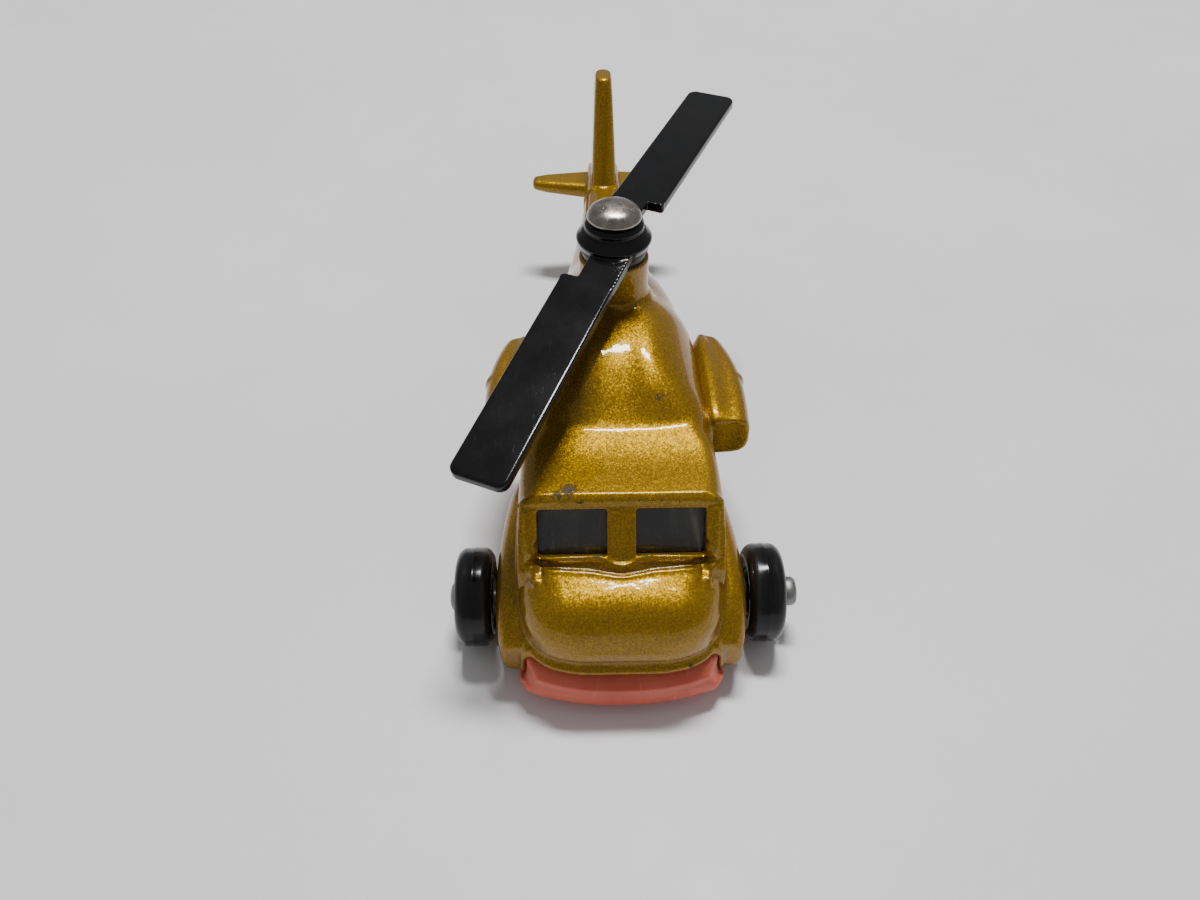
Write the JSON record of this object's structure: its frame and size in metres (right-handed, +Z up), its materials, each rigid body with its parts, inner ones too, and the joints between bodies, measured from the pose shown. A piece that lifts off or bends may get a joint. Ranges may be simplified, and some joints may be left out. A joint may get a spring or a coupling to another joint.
{
  "type": "die-cast toy helicopter",
  "caption": "Small die-cast toy helicopter with a spinning two-blade rotor on a riveted mast, rolling front wheels on a through axle, and a tail wheel.",
  "frame": {"origin": "on the floor under the middle of the overall length and width", "axes": "+Y from the nose to the tail, +Z up, +X to the toy's left, seen from its seat looking forward"},
  "size_m": [0.0312, 0.0745, 0.0305],
  "materials": {
    "gold_enamel": "glossy metallic enamel over die-cast zinc, chipped",
    "orange_plastic": "satin moulded plastic",
    "smoked_glazing": "dark tinted clear moulding",
    "cabin_plastic": "plain black moulding",
    "rotor_plastic": "semi-gloss black moulding",
    "nickel": "worn nickel plate",
    "axle_steel": "dull grey steel",
    "wheel_plastic": "glossy black moulding"
  },
  "bodies": {
    "airframe": {"body_casting": "gold_enamel", "base_plate": "orange_plastic", "window_glazing": "smoked_glazing", "cabin_interior": "cabin_plastic", "rotor_rivet": "nickel", "tail_wheel_pin": "axle_steel"},
    "rotor": {"rotor": "rotor_plastic"},
    "axle": {"front_axle": "axle_steel"},
    "left_wheel": {"left_wheel": "wheel_plastic"},
    "right_wheel": {"right_wheel": "wheel_plastic"},
    "tail_wheel": {"tail_wheel": "wheel_plastic"}
  },
  "joints": [
    {"name": "rotor_spin", "type": "hinge", "parent": "airframe", "child": "rotor", "pos_m": [0, -0.0049, 0.027], "axis": [0, 0, 1], "continuous": true},
    {"name": "axle_spin", "type": "hinge", "parent": "airframe", "child": "axle", "pos_m": [0, -0.028, 0.0044], "axis": [1, 0, 0], "continuous": true},
    {"name": "left_wheel_spin", "type": "hinge", "parent": "axle", "child": "left_wheel", "pos_m": [-0.01285, -0.028, 0.0044], "axis": [1, 0, 0], "continuous": true},
    {"name": "right_wheel_spin", "type": "hinge", "parent": "axle", "child": "right_wheel", "pos_m": [0.01285, -0.028, 0.0044], "axis": [1, 0, 0], "continuous": true},
    {"name": "tail_wheel_spin", "type": "hinge", "parent": "airframe", "child": "tail_wheel", "pos_m": [0, 0.013, 0.0023], "axis": [1, 0, 0], "continuous": true}
  ]
}
